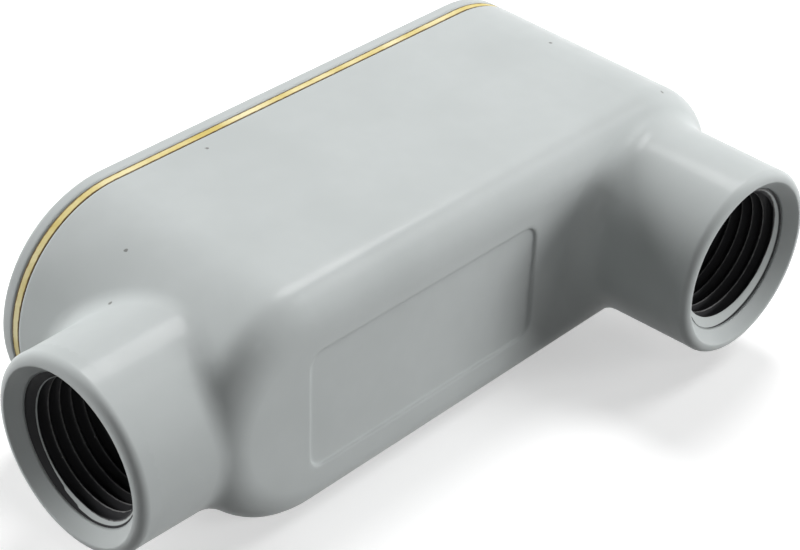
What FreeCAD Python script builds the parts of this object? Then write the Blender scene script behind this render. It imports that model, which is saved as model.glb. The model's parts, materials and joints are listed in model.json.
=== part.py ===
"""Half-inch LB conduit body: a die-cast elbow box with one threaded hub on its end and one on
its back, closed by a gasketed cover that two screws hold down.

The model is built about the crossing of the two conduit axes: X runs along the box, away from
the end hub, and +Y points out through the cover. Every body then moves by the same shift, so
that the box lies on its side on z = 0, below the middle of its own outline.
"""
import FreeCAD, Part
import math
import os
import Sketcher

Vector = FreeCAD.Vector

SIZES = {
    # The box, in millimetres.
    "half_width": 17.5,          # of the box at its cover end, and the radius of its round ends
    "near_run": 65.5,            # back hub's axis to the centre of the end hub's round end
    "far_run": 1.3,              # back hub's axis to the centre of the other round end
    "flange_rise": 22.45,        # end hub's axis to the face under the gasket
    "hub_to_back": 1.15,         # end hub's side, at its mouth, to the back face
    "draft_angle": 1.0,          # of the box walls, in degrees
    "back_edge_radius": 5.5,
    "flange_edge": 0.25,         # bevel round the flange
    "wall": 3.2,                 # side and end walls
    "back_wall": 3.2,
    "floor_edge": 2.0,           # bevelled corner between the walls and the floor
    # The two hubs, which are alike but for their reach.
    "hub_radius": 13.75,         # at the mouth
    "hub_draft": 1.0,            # in degrees
    "end_reach": 93.15,          # back hub's axis to the mouth of the end hub
    "back_reach": 33.2,          # end hub's axis to the mouth of the back hub
    "hub_root_radius": 4.0,
    "rim_edge": 1.0,             # bevel of the mouth's outer edge
    "mouth_radius": 12.4,        # wide end of the lead-in cone
    "mouth_depth": 1.85,         # of the lead-in cone
    "thread_radius": 10.65,      # over the thread's roots, half of 0.839 inch
    "thread_depth": 12.6,        # mouth plane to the conduit stop
    "throat_radius": 7.9,        # through the stop, which guards the wires
    "throat_edge": 1.0,          # bevel of the stop's edge, where the wires leave it
    "stop_length": 4.6,          # of the end hub's stop, along the axis
    "stop_wall": 2.2,            # of the sleeve that carries it into the box
    "stop_web": 0.35,            # least metal between the end hub's thread and the wire space
    "sleeve_reach": 2.0,         # least reach of the sleeve past the end wall
    # Lugs that take the cover screws.
    "screw_inset": 6.3,          # end of the box to the screw
    "lug_radius": 4.6,
    "lug_depth": 12.0,
    "tapped_depth": 10.5,
    "tapped_gap": 0.05,          # between the screw and its hole, all round
    # Sunk panel on the back face.
    "panel_far": 24.0,           # back hub's axis to the near end of the panel
    "panel_length": 42.4,
    "panel_half_height": 9.05,
    "panel_corner": 2.2,
    "panel_sink": 0.4,
    "panel_edge": 0.15,          # bevel of the panel's step
    # Gasket.
    "gasket_thick": 1.2,
    "gasket_inset": 0.1,         # from the edge of the flange
    "gasket_land": 4.0,          # width along the sides
    "gasket_end_land": 11.0,     # width at the ends, round the screws
    "gasket_corner": 6.0,
    "gasket_hole_gap": 0.4,      # round the screw
    # Cover.
    "cover_thick": 2.4,
    "cover_edge": 0.62,          # bevel of the outer edge
    "cover_seat_edge": 0.25,     # bevel of the edge that faces the gasket
    "relief_depth": 0.9,         # hollow in the underside
    "relief_land": 5.2,
    "relief_end_land": 12.2,
    "cover_hole_gap": 0.25,
    "head_seat_gap": 0.35,       # round the screw's head
    "head_seat_depth": 1.1,
    # Cover screws.
    "screw_radius": 2.05,
    "screw_length": 11.0,        # under the head
    "head_radius": 3.9,
    "head_height": 2.2,
    "head_edge": 0.8,            # bevel of the head
    "slot_width": 1.1,
    "slot_depth": 1.2,
    "near_slot_turn": 27.0,      # degrees from the run of the conduit
    "far_slot_turn": 104.0,
}

# Sizes that follow from the ones above.
DERIVED = {
    "back_drop": "=hub_radius + hub_to_back",       # end hub's axis to the back face
    "end_stand": "=end_reach - near_run - half_width",      # of the end hub from the end wall
    "end_wall_inside": "=-near_run - half_width + wall",
}

# A hub's blends may take up these shares of the length that it stands out by.
ROOT_SHARE = 0.5
RIM_SHARE = 0.25

# Where the driven places lie, in terms of the sizes above.
NEAR_CENTRE = "-Sizes.near_run"
FAR_CENTRE = "Sizes.far_run"
NEAR_SCREW = "-Sizes.near_run - Sizes.half_width + Sizes.screw_inset"
FAR_SCREW = "Sizes.far_run + Sizes.half_width - Sizes.screw_inset"
END_STOP = "min(-Sizes.end_reach + Sizes.thread_depth; Sizes.end_wall_inside - Sizes.stop_web)"
BACK_STOP = "-Sizes.back_reach + Sizes.thread_depth"
SLEEVE_END = "max(" + END_STOP + " + Sizes.stop_length; Sizes.end_wall_inside + Sizes.sleeve_reach)"
CAVITY_DEPTH = "Sizes.flange_rise + Sizes.back_drop - Sizes.back_wall"
COVER_SEAT = "Sizes.flange_rise + Sizes.gasket_thick"
HEAD_SEAT = COVER_SEAT + " + Sizes.cover_thick - Sizes.head_seat_depth"
SHIFT_X = "(Sizes.end_reach - Sizes.far_run - Sizes.half_width) / 2"
SHIFT_Y = "(Sizes.back_reach - (" + HEAD_SEAT + " + Sizes.head_height)) / 2"
SHIFT_Z = "Sizes.half_width"

CLOSE = 1e-4      # two places this near are the same place


def make_sheet(doc):
    """The spreadsheet that every sketch and feature reads its sizes from."""
    sheet = doc.addObject("Spreadsheet::Sheet", "Sizes")
    for row, (name, size) in enumerate([*SIZES.items(), *DERIVED.items()], start=1):
        sheet.set("A%d" % row, name)
        sheet.set("B%d" % row, str(size))
        sheet.setAlias("B%d" % row, name)
    doc.recompute()
    return sheet


def value(sheet, formula):
    """The number that a formula on the sheet's sizes comes to."""
    return float(sheet.evalExpression(formula))


def make_body(doc, label):
    """An empty body, shifted into the frame that the part is used in."""
    body = doc.addObject("PartDesign::Body", label)
    body.Label = label
    body.setExpression(".Placement.Base.x", SHIFT_X)
    body.setExpression(".Placement.Base.y", SHIFT_Y)
    body.setExpression(".Placement.Base.z", SHIFT_Z)
    return body


def make_sketch(body, name, role, offset=None):
    """An empty sketch on one of the body's origin planes, moved along the plane's normal."""
    sketch = body.newObject("Sketcher::SketchObject", name)
    plane = next(f for f in body.Origin.OriginFeatures if f.Role == role)
    sketch.AttachmentSupport = [(plane, "")]
    sketch.MapMode = "FlatFace"
    if offset is not None:
        sketch.setExpression(".AttachmentOffset.Base.z", offset)
    return sketch


def bind(sketch, constraint, formula):
    """Adds a constraint and ties its size to a formula."""
    index = sketch.addConstraint(constraint)
    sketch.setExpression("Constraints[%d]" % index, formula)


def pin_point(sketch, sheet, geometry, point, x, y):
    """Ties a point of a sketch to two formulas, and to an axis where a formula is zero."""
    for kind, formula, axis in (("DistanceX", x, -2), ("DistanceY", y, -1)):
        if formula == "0":
            sketch.addConstraint(Sketcher.Constraint("PointOnObject", geometry, point, axis))
        else:
            here = value(sheet, formula)
            bind(sketch, Sketcher.Constraint(kind, -1, 1, geometry, point, here), formula)


def draw_polygon(sketch, sheet, corners):
    """A closed outline of straight lines. Each corner is a pair of formulas."""
    places = [Vector(*(0 if c == "0" else value(sheet, c) for c in corner), 0) for corner in corners]
    count = len(places)
    lines = [
        sketch.addGeometry(Part.LineSegment(places[i], places[(i + 1) % count]), False)
        for i in range(count)
    ]
    for i, line in enumerate(lines):
        follower = lines[(i + 1) % count]
        sketch.addConstraint(Sketcher.Constraint("Coincident", line, 2, follower, 1))
    for line, corner in zip(lines, corners):
        pin_point(sketch, sheet, line, 1, *corner)


def draw_circle(sketch, sheet, x, radius):
    """A circle centred on the sketch's horizontal axis."""
    centre = Vector(value(sheet, x), 0, 0)
    size = value(sheet, radius)
    circle = sketch.addGeometry(Part.Circle(centre, Vector(0, 0, 1), size), False)
    pin_point(sketch, sheet, circle, 3, x, "0")
    bind(sketch, Sketcher.Constraint("Radius", circle, size), radius)


def draw_rounded(sketch, sheet, near, far, half_height, corner):
    """A rounded rectangle about the horizontal axis: its two ends, half height and corners."""
    x0, x1 = value(sheet, near), value(sheet, far)
    top, r = value(sheet, half_height), value(sheet, corner)
    quarter = math.pi / 2
    centres = ((x1 - r, top - r), (x0 + r, top - r), (x0 + r, r - top), (x1 - r, r - top))
    arcs = []
    for turn, (x, y) in enumerate(centres):
        circle = Part.Circle(Vector(x, y, 0), Vector(0, 0, 1), r)
        arc = Part.ArcOfCircle(circle, turn * quarter, (turn + 1) * quarter)
        arcs.append(sketch.addGeometry(arc, False))
    sides = [
        sketch.addGeometry(Part.LineSegment(Vector(x1 - r, top, 0), Vector(x0 + r, top, 0)), False),
        sketch.addGeometry(Part.LineSegment(Vector(x0, top - r, 0), Vector(x0, r - top, 0)), False),
        sketch.addGeometry(Part.LineSegment(Vector(x0 + r, -top, 0), Vector(x1 - r, -top, 0)), False),
        sketch.addGeometry(Part.LineSegment(Vector(x1, r - top, 0), Vector(x1, top - r, 0)), False),
    ]
    for i, side in enumerate(sides):
        sketch.addConstraint(Sketcher.Constraint("Tangent", arcs[i], 2, side, 1))
        sketch.addConstraint(Sketcher.Constraint("Tangent", side, 2, arcs[(i + 1) % 4], 1))
    bind(sketch, Sketcher.Constraint("Radius", arcs[0], r), corner)
    for arc in arcs[1:]:
        sketch.addConstraint(Sketcher.Constraint("Equal", arcs[0], arc))
    bind(sketch, Sketcher.Constraint("DistanceX", -1, 1, sides[1], 1, x0), near)
    bind(sketch, Sketcher.Constraint("DistanceX", -1, 1, sides[3], 1, x1), far)
    bind(sketch, Sketcher.Constraint("DistanceY", -1, 1, sides[0], 1, top), half_height)
    bind(sketch, Sketcher.Constraint("DistanceY", -1, 1, sides[2], 1, -top), "-(" + half_height + ")")
    sketch.addConstraint(Sketcher.Constraint("Vertical", sides[1]))


def draw_oblong(sketch, sheet, near_centre, far_centre, radius):
    """An outline with two straight sides and two half-round ends, about the horizontal axis."""
    x0, x1 = value(sheet, near_centre), value(sheet, far_centre)
    r = value(sheet, radius)
    quarter = math.pi / 2
    far = sketch.addGeometry(
        Part.ArcOfCircle(Part.Circle(Vector(x1, 0, 0), Vector(0, 0, 1), r), -quarter, quarter), False)
    top = sketch.addGeometry(Part.LineSegment(Vector(x1, r, 0), Vector(x0, r, 0)), False)
    near = sketch.addGeometry(
        Part.ArcOfCircle(Part.Circle(Vector(x0, 0, 0), Vector(0, 0, 1), r), quarter, 3 * quarter), False)
    low = sketch.addGeometry(Part.LineSegment(Vector(x0, -r, 0), Vector(x1, -r, 0)), False)
    for first, second in ((far, top), (top, near), (near, low), (low, far)):
        sketch.addConstraint(Sketcher.Constraint("Tangent", first, 2, second, 1))
    pin_point(sketch, sheet, near, 3, near_centre, "0")
    pin_point(sketch, sheet, far, 3, far_centre, "0")
    bind(sketch, Sketcher.Constraint("Radius", far, r), radius)


def draw_lug(sketch, sheet, screw, end, radius):
    """A lug's outline: half round about its screw, with straight sides that run into the wall."""
    x0, x1 = value(sheet, screw), value(sheet, end)
    r = value(sheet, radius)
    turn = 0 if x1 > x0 else math.pi
    centre = Vector(x0, 0, 0)
    start, finish = turn + math.pi / 2, turn + 3 * math.pi / 2
    side = r if x1 > x0 else -r
    arc = sketch.addGeometry(
        Part.ArcOfCircle(Part.Circle(centre, Vector(0, 0, 1), r), start, finish), False)
    one = sketch.addGeometry(Part.LineSegment(Vector(x0, -side, 0), Vector(x1, -side, 0)), False)
    back = sketch.addGeometry(Part.LineSegment(Vector(x1, -side, 0), Vector(x1, side, 0)), False)
    two = sketch.addGeometry(Part.LineSegment(Vector(x1, side, 0), Vector(x0, side, 0)), False)
    sketch.addConstraint(Sketcher.Constraint("Tangent", arc, 2, one, 1))
    sketch.addConstraint(Sketcher.Constraint("Coincident", one, 2, back, 1))
    sketch.addConstraint(Sketcher.Constraint("Coincident", back, 2, two, 1))
    sketch.addConstraint(Sketcher.Constraint("Tangent", two, 2, arc, 1))
    sketch.addConstraint(Sketcher.Constraint("Horizontal", one))
    sketch.addConstraint(Sketcher.Constraint("Vertical", back))
    pin_point(sketch, sheet, arc, 3, screw, "0")
    bind(sketch, Sketcher.Constraint("Radius", arc, r), radius)
    bind(sketch, Sketcher.Constraint("DistanceX", -1, 1, back, 1, x1), end)


def extrude(body, kind, name, sketch, length, towards_cover=False, taper=None):
    """A Pad or Pocket of a sketch on the XZ plane, whose normal points away from the cover.

    Args:
        length: formula for the distance.
        towards_cover: whether it runs to +Y rather than -Y.
        taper: formula for the draft, in degrees, negative where it narrows.
    """
    feature = body.newObject("PartDesign::" + kind, name)
    feature.Profile = sketch
    feature.setExpression("Length", length)
    along_normal = not towards_cover
    feature.Reversed = along_normal if kind == "Pocket" else not along_normal
    if taper is not None:
        feature.setExpression("TaperAngle", taper)
    sketch.Visibility = False
    body.Document.recompute()
    return feature


def revolve(body, kind, name, sketch, axis):
    """A full Revolution or Groove of a sketch about one of its own axes."""
    feature = body.newObject("PartDesign::" + kind, name)
    feature.Profile = sketch
    feature.ReferenceAxis = (sketch, [axis])
    feature.Angle = 360.0
    body.Document.recompute()
    return feature


def edges_where(feature, keep):
    """Names of the feature's edges for which keep(edge) holds."""
    return [
        "Edge%d" % number
        for number, edge in enumerate(feature.Shape.Edges, start=1)
        if not edge.Degenerated and keep(edge)
    ]


def points_on(edge, count=9):
    """Points spread evenly along an edge."""
    first, last = edge.ParameterRange
    return [edge.valueAt(first + (last - first) * i / (count - 1)) for i in range(count)]


def round_edges(body, name, base, edges, radius):
    """A Fillet of the named edges of the base feature."""
    feature = body.newObject("PartDesign::Fillet", name)
    feature.Base = (base, edges)
    feature.setExpression("Radius", radius)
    body.Document.recompute()
    return feature


def bevel_edges(body, name, base, edges, size):
    """A Chamfer of the named edges of the base feature."""
    feature = body.newObject("PartDesign::Chamfer", name)
    feature.Base = (base, edges)
    feature.setExpression("Size", size)
    body.Document.recompute()
    return feature


def lies_at_y(edge, y):
    """Whether the whole edge lies in the plane of that y."""
    return all(abs(point.y - y) < CLOSE for point in points_on(edge))


def make_box(body, sheet):
    """The drafted oblong block that the casting starts from, with its back edge rounded."""
    outline = make_sketch(body, "box_outline", "XZ_Plane", "-Sizes.flange_rise")
    draw_oblong(outline, sheet, NEAR_CENTRE, FAR_CENTRE, "Sizes.half_width")
    block = extrude(body, "Pad", "box", outline, "Sizes.flange_rise + Sizes.back_drop",
                    taper="-Sizes.draft_angle")
    back = value(sheet, "-Sizes.back_drop")
    edges = edges_where(block, lambda edge: lies_at_y(edge, back))
    return round_edges(body, "back_edge", block, edges, "Sizes.back_edge_radius")


def make_hubs(body, sheet):
    """Both hub barrels, blended into the box and bevelled at their mouths."""
    end_root = "Sizes.hub_radius + (Sizes.end_reach - Sizes.near_run) * tan(Sizes.hub_draft * 1 deg)"
    back_root = "Sizes.hub_radius + Sizes.back_reach * tan(Sizes.hub_draft * 1 deg)"
    end = make_sketch(body, "end_hub_profile", "XY_Plane")
    draw_polygon(end, sheet, [
        ("-Sizes.end_reach", "0"), (NEAR_CENTRE, "0"),
        (NEAR_CENTRE, end_root), ("-Sizes.end_reach", "Sizes.hub_radius")])
    revolve(body, "Revolution", "end_hub", end, "H_Axis")
    back = make_sketch(body, "back_hub_profile", "XY_Plane")
    draw_polygon(back, sheet, [
        ("0", "-Sizes.back_reach"), ("Sizes.hub_radius", "-Sizes.back_reach"),
        (back_root, "0"), ("0", "0")])
    barrels = revolve(body, "Revolution", "back_hub", back, "V_Axis")
    mouth_radius = value(sheet, "Sizes.hub_radius")
    slope = value(sheet, "tan(Sizes.hub_draft * 1 deg)")
    end_mouth = value(sheet, "-Sizes.end_reach")
    back_mouth = value(sheet, "-Sizes.back_reach")

    def on_barrel(distance, depth):
        return depth > CLOSE and abs(distance - mouth_radius - depth * slope) < 1e-3

    def is_root(edge):
        points = points_on(edge)
        on_end = all(on_barrel(math.hypot(p.y, p.z), p.x - end_mouth) for p in points)
        on_back = all(on_barrel(math.hypot(p.x, p.z), p.y - back_mouth) for p in points)
        seam = max(abs(p.z) for p in points) < CLOSE
        return (on_end or on_back) and not seam

    def is_rim(edge):
        at_end = all(abs(p.x - end_mouth) < CLOSE for p in points_on(edge))
        return at_end or lies_at_y(edge, back_mouth)

    blended = round_edges(body, "hub_roots", barrels, edges_where(barrels, is_root),
                          "min(Sizes.hub_root_radius; %g * Sizes.end_stand)" % ROOT_SHARE)
    return bevel_edges(body, "hub_rims", blended, edges_where(blended, is_rim),
                       "min(Sizes.rim_edge; %g * Sizes.end_stand)" % RIM_SHARE)


def make_cavity(body, sheet):
    """The hollow inside the box, open at the flange."""
    outline = make_sketch(body, "cavity_outline", "XZ_Plane", "-Sizes.flange_rise")
    draw_oblong(outline, sheet, NEAR_CENTRE, FAR_CENTRE,
                "Sizes.half_width - Sizes.wall")
    hollow = extrude(body, "Pocket", "cavity", outline, CAVITY_DEPTH, taper="-Sizes.draft_angle")
    floor = value(sheet, "Sizes.back_wall - Sizes.back_drop")
    edges = edges_where(hollow, lambda edge: lies_at_y(edge, floor))
    return bevel_edges(body, "cavity_floor", hollow, edges, "Sizes.floor_edge")


def make_lugs(body, sheet):
    """The two lugs under the flange that the cover screws go into."""
    wall_middle = "(Sizes.half_width - Sizes.wall / 2)"
    for name, screw, end in (
            ("near", NEAR_SCREW, NEAR_CENTRE + " - " + wall_middle),
            ("far", FAR_SCREW, FAR_CENTRE + " + " + wall_middle)):
        outline = make_sketch(body, name + "_lug_outline", "XZ_Plane", "-Sizes.flange_rise")
        draw_lug(outline, sheet, screw, end, "Sizes.lug_radius")
        extrude(body, "Pad", name + "_lug", outline, "Sizes.lug_depth")


def bore_corners(reach, stop_start, stop_end, along_x):
    """Half section of a hub's bore: lead-in cone, thread, and the narrower stop."""
    stations = (
        ("-Sizes." + reach, "0"),
        ("-Sizes." + reach, "Sizes.mouth_radius"),
        ("-Sizes." + reach + " + Sizes.mouth_depth", "Sizes.thread_radius"),
        (stop_start, "Sizes.thread_radius"),
        (stop_start, "Sizes.throat_radius"),
        (stop_end + " - Sizes.throat_edge", "Sizes.throat_radius"),
        (stop_end, "Sizes.throat_radius + Sizes.throat_edge"),
        (stop_end, "0"),
    )
    return [station if along_x else station[::-1] for station in stations]


def make_bores(body, sheet):
    """The sleeve of the end hub's stop, and both bores."""
    sleeve_radius = "Sizes.throat_radius + Sizes.stop_wall"
    sleeve_start = "Sizes.end_wall_inside - Sizes.wall / 2"
    sleeve = make_sketch(body, "stop_sleeve_profile", "XY_Plane")
    draw_polygon(sleeve, sheet, [
        (sleeve_start, "0"), (SLEEVE_END, "0"),
        (SLEEVE_END, sleeve_radius), (sleeve_start, sleeve_radius)])
    revolve(body, "Revolution", "stop_sleeve", sleeve, "H_Axis")
    end = make_sketch(body, "end_bore_profile", "XY_Plane")
    draw_polygon(end, sheet, bore_corners("end_reach", END_STOP, SLEEVE_END, True))
    revolve(body, "Groove", "end_bore", end, "H_Axis")
    back = make_sketch(body, "back_bore_profile", "XY_Plane")
    floor = "Sizes.back_wall - Sizes.back_drop"
    draw_polygon(back, sheet, bore_corners("back_reach", BACK_STOP, floor, False))
    return revolve(body, "Groove", "back_bore", back, "V_Axis")


def make_screw_holes(body, sheet):
    """The tapped holes in the lugs, drawn at the screw's own diameter and a little over."""
    outline = make_sketch(body, "tapped_holes_outline", "XZ_Plane", "-Sizes.flange_rise")
    for screw in (NEAR_SCREW, FAR_SCREW):
        draw_circle(outline, sheet, screw, "Sizes.screw_radius + Sizes.tapped_gap")
    return extrude(body, "Pocket", "tapped_holes", outline, "Sizes.tapped_depth")


def make_panel(body, sheet):
    """The shallow sunk panel on the back face, with its step softened as cast."""
    near = "-Sizes.panel_far - Sizes.panel_length"
    outline = make_sketch(body, "panel_outline", "XZ_Plane", "Sizes.back_drop")
    draw_rounded(outline, sheet, near, "-Sizes.panel_far", "Sizes.panel_half_height",
                 "Sizes.panel_corner")
    panel = extrude(body, "Pocket", "panel", outline, "Sizes.panel_sink", towards_cover=True)
    back = value(sheet, "-Sizes.back_drop")
    floor = value(sheet, "Sizes.panel_sink - Sizes.back_drop")
    low, high = value(sheet, near), value(sheet, "-Sizes.panel_far")

    def is_step(edge):
        inside = all(low - CLOSE < p.x < high + CLOSE for p in points_on(edge))
        narrow = edge.BoundBox.ZLength < value(sheet, "2 * Sizes.panel_half_height") + CLOSE
        within = all(abs(p.z) < value(sheet, "Sizes.panel_half_height") + CLOSE for p in points_on(edge))
        return inside and narrow and within and (lies_at_y(edge, back) or lies_at_y(edge, floor))

    return bevel_edges(body, "panel_step", panel, edges_where(panel, is_step), "Sizes.panel_edge")


def make_casting(doc, sheet):
    """The one-piece casting: box, hubs, cavity, lugs, bores, tapped holes and sunk panel."""
    body = make_body(doc, "body_casting")
    make_box(body, sheet)
    make_hubs(body, sheet)
    make_cavity(body, sheet)
    make_lugs(body, sheet)
    make_bores(body, sheet)
    make_screw_holes(body, sheet)
    last = make_panel(body, sheet)
    flange = value(sheet, "Sizes.flange_rise")
    half_width = value(sheet, "Sizes.half_width")
    near_centre = value(sheet, NEAR_CENTRE)
    far_centre = value(sheet, FAR_CENTRE)

    def is_flange_rim(edge):
        if not lies_at_y(edge, flange):
            return False
        for point in points_on(edge):
            run = min(max(point.x, near_centre), far_centre)
            if abs(math.hypot(point.x - run, point.z) - half_width) > 1e-3:
                return False
        return True

    bevel_edges(body, "flange_rim", last, edges_where(last, is_flange_rim), "Sizes.flange_edge")
    return body


def make_gasket(doc, sheet):
    """The flat gasket between flange and cover, open in the middle."""
    body = make_body(doc, "cover_gasket")
    outline = make_sketch(body, "gasket_outline", "XZ_Plane", "-Sizes.flange_rise")
    draw_oblong(outline, sheet, NEAR_CENTRE, FAR_CENTRE,
                "Sizes.half_width - Sizes.gasket_inset")
    extrude(body, "Pad", "gasket_sheet", outline, "Sizes.gasket_thick", towards_cover=True)
    opening = make_sketch(body, "gasket_opening", "XZ_Plane", "-Sizes.flange_rise")
    draw_rounded(opening, sheet,
                 NEAR_CENTRE + " - Sizes.half_width + Sizes.gasket_end_land",
                 FAR_CENTRE + " + Sizes.half_width - Sizes.gasket_end_land",
                 "Sizes.half_width - Sizes.gasket_land", "Sizes.gasket_corner")
    for screw in (NEAR_SCREW, FAR_SCREW):
        draw_circle(opening, sheet, screw, "Sizes.screw_radius + Sizes.gasket_hole_gap")
    extrude(body, "Pocket", "gasket_cut", opening, "Sizes.gasket_thick", towards_cover=True)
    return body


def make_cover(doc, sheet):
    """The cast cover, relieved underneath, with seats sunk for the two screw heads."""
    body = make_body(doc, "cover")
    outline = make_sketch(body, "cover_outline", "XZ_Plane", "-(" + COVER_SEAT + ")")
    draw_oblong(outline, sheet, NEAR_CENTRE, FAR_CENTRE, "Sizes.half_width")
    plate = extrude(body, "Pad", "plate", outline, "Sizes.cover_thick", towards_cover=True)
    outer = value(sheet, COVER_SEAT + " + Sizes.cover_thick")
    seat = value(sheet, COVER_SEAT)
    bevelled = bevel_edges(body, "outer_edge", plate,
                           edges_where(plate, lambda edge: lies_at_y(edge, outer)),
                           "Sizes.cover_edge")
    bevel_edges(body, "seat_edge", bevelled,
                edges_where(bevelled, lambda edge: lies_at_y(edge, seat)),
                "Sizes.cover_seat_edge")
    relief = make_sketch(body, "relief_outline", "XZ_Plane", "-(" + COVER_SEAT + ")")
    draw_rounded(relief, sheet,
                 NEAR_CENTRE + " - Sizes.half_width + Sizes.relief_end_land",
                 FAR_CENTRE + " + Sizes.half_width - Sizes.relief_end_land",
                 "Sizes.half_width - Sizes.relief_land", "Sizes.gasket_corner")
    extrude(body, "Pocket", "relief", relief, "Sizes.relief_depth", towards_cover=True)
    holes = make_sketch(body, "cover_holes", "XZ_Plane", "-(" + COVER_SEAT + ")")
    for screw in (NEAR_SCREW, FAR_SCREW):
        draw_circle(holes, sheet, screw, "Sizes.screw_radius + Sizes.cover_hole_gap")
    extrude(body, "Pocket", "screw_holes", holes, "Sizes.cover_thick", towards_cover=True)
    seats = make_sketch(body, "head_seat_outline", "XZ_Plane", "-(" + HEAD_SEAT + ")")
    for screw in (NEAR_SCREW, FAR_SCREW):
        draw_circle(seats, sheet, screw, "Sizes.head_radius + Sizes.head_seat_gap")
    extrude(body, "Pocket", "head_seats", seats, "Sizes.cover_thick", towards_cover=True)
    return body


def make_screw(doc, sheet, label, place, turn):
    """One slotted pan-head cover screw, standing on its seat in the cover.

    Args:
        place: formula for its x.
        turn: name of the size that gives its slot's direction.
    """
    body = doc.addObject("PartDesign::Body", label)
    body.Label = label
    body.setExpression(".Placement.Base.x", SHIFT_X + " + (" + place + ")")
    body.setExpression(".Placement.Base.y", SHIFT_Y + " + " + HEAD_SEAT)
    body.setExpression(".Placement.Base.z", SHIFT_Z)
    body.Placement.Rotation = FreeCAD.Rotation(Vector(0, 1, 0), value(sheet, "Sizes." + turn))
    profile = make_sketch(body, label + "_profile", "XY_Plane")
    draw_polygon(profile, sheet, [
        ("0", "-Sizes.screw_length"),
        ("Sizes.screw_radius", "-Sizes.screw_length"),
        ("Sizes.screw_radius", "0"),
        ("Sizes.head_radius", "0"),
        ("Sizes.head_radius", "Sizes.head_height"),
        ("0", "Sizes.head_height")])
    blank = revolve(body, "Revolution", label + "_blank", profile, "V_Axis")
    top = value(sheet, "Sizes.head_height")
    bevel_edges(body, label + "_head", blank,
                edges_where(blank, lambda edge: lies_at_y(edge, top)), "Sizes.head_edge")
    slot = make_sketch(body, label + "_slot", "XY_Plane")
    draw_polygon(slot, sheet, [
        ("-Sizes.slot_width / 2", "Sizes.head_height - Sizes.slot_depth"),
        ("Sizes.slot_width / 2", "Sizes.head_height - Sizes.slot_depth"),
        ("Sizes.slot_width / 2", "2 * Sizes.head_height"),
        ("-Sizes.slot_width / 2", "2 * Sizes.head_height")])
    cut = body.newObject("PartDesign::Pocket", label + "_slot_cut")
    cut.Profile = slot
    cut.Midplane = True
    cut.setExpression("Length", "3 * Sizes.head_radius")
    doc.recompute()
    return body


def make_screws(doc, sheet):
    """The two cover screws, which are alike, as one group of separate solids."""
    group = doc.addObject("Part::Compound", "cover_screws")
    group.Label = "cover_screws"
    group.Links = [
        make_screw(doc, sheet, "near_screw", NEAR_SCREW, "near_slot_turn"),
        make_screw(doc, sheet, "far_screw", FAR_SCREW, "far_slot_turn"),
    ]
    doc.recompute()
    return group


def check(doc, parts):
    """Stops on a failed object, or on a part that isn't valid or hasn't all its solids."""
    for thing in doc.Objects:
        if "Invalid" in thing.State or "Error" in thing.State:
            raise RuntimeError("%s failed: %s" % (thing.Name, thing.State))
    for part in parts:
        shape = part.Shape
        pieces = len(part.Links) if part.TypeId == "Part::Compound" else 1
        if shape.isNull() or not shape.isValid() or len(shape.Solids) != pieces:
            raise RuntimeError("%s is not valid, or not %d solids" % (part.Label, pieces))


def main():
    """Builds the document and writes one STEP file for each part."""
    doc = FreeCAD.newDocument("conduit_body")
    sheet = make_sheet(doc)
    parts = [
        make_casting(doc, sheet),
        make_gasket(doc, sheet),
        make_cover(doc, sheet),
        make_screws(doc, sheet),
    ]
    doc.recompute()
    check(doc, parts)
    os.makedirs("parts", exist_ok=True)
    for part in parts:
        part.Shape.exportStep("parts/%s.step" % part.Label)
        print("%s: %.1f mm3, %d faces" % (part.Label, part.Shape.Volume, len(part.Shape.Faces)))


main()
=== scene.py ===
"""Looks of a half-inch LB conduit body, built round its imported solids.

The casting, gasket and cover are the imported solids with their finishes. The hubs' threads and rounded
lips and the two cover screws are built here, in the same places as the solids that carry them.
"""

import json
import logging
import math
from dataclasses import dataclass
from enum import Enum
from typing import Any

import bmesh
import bpy
from mathutils import Euler, Matrix, Vector


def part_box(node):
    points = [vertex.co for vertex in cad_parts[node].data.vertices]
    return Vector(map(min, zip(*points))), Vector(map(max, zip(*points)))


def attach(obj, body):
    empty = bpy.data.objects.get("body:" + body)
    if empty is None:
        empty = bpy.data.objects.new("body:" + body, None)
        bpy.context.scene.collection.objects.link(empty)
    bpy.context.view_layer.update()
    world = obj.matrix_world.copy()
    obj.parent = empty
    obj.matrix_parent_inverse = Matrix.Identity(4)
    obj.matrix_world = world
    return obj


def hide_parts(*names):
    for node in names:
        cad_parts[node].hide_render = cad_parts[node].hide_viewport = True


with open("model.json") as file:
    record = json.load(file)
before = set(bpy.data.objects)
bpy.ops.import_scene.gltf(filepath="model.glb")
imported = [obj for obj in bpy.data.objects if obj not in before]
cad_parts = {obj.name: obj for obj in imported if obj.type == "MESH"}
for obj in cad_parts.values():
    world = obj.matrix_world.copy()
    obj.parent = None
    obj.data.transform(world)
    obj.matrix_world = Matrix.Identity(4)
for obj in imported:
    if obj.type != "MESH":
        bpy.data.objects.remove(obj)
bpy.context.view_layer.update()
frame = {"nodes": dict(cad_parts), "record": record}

log = logging.getLogger("conduit_body")

Color = tuple[float, float, float, float]
Point = tuple[float, float, float]
Pair = tuple[float, float]  # a range, or a point of a half section
Socket = bpy.types.NodeSocket
Given = Socket | float | Color  # what an input socket can be fed with

MM = 0.001  # all lengths are in metres
WELD = 1e-7  # corners closer than this are one
BODY = "root"  # the frame's only body
WHITE: Color = (1.0, 1.0, 1.0, 1.0)
MOST_OF_NOISE: Pair = (0.3, 0.7)  # where nearly all values of a noise lie


class SolidNode(Enum):
    """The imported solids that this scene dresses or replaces."""

    CASTING = "body_casting"
    GASKET = "cover_gasket"
    COVER = "cover"
    SCREWS = "cover_screws"


class FinishSlot(Enum):
    """Two of the record's material slots, for the casting and the screws; nothing here uses them."""

    CASTING = "casting_paint"
    SCREWS = "screw_steel"


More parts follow.
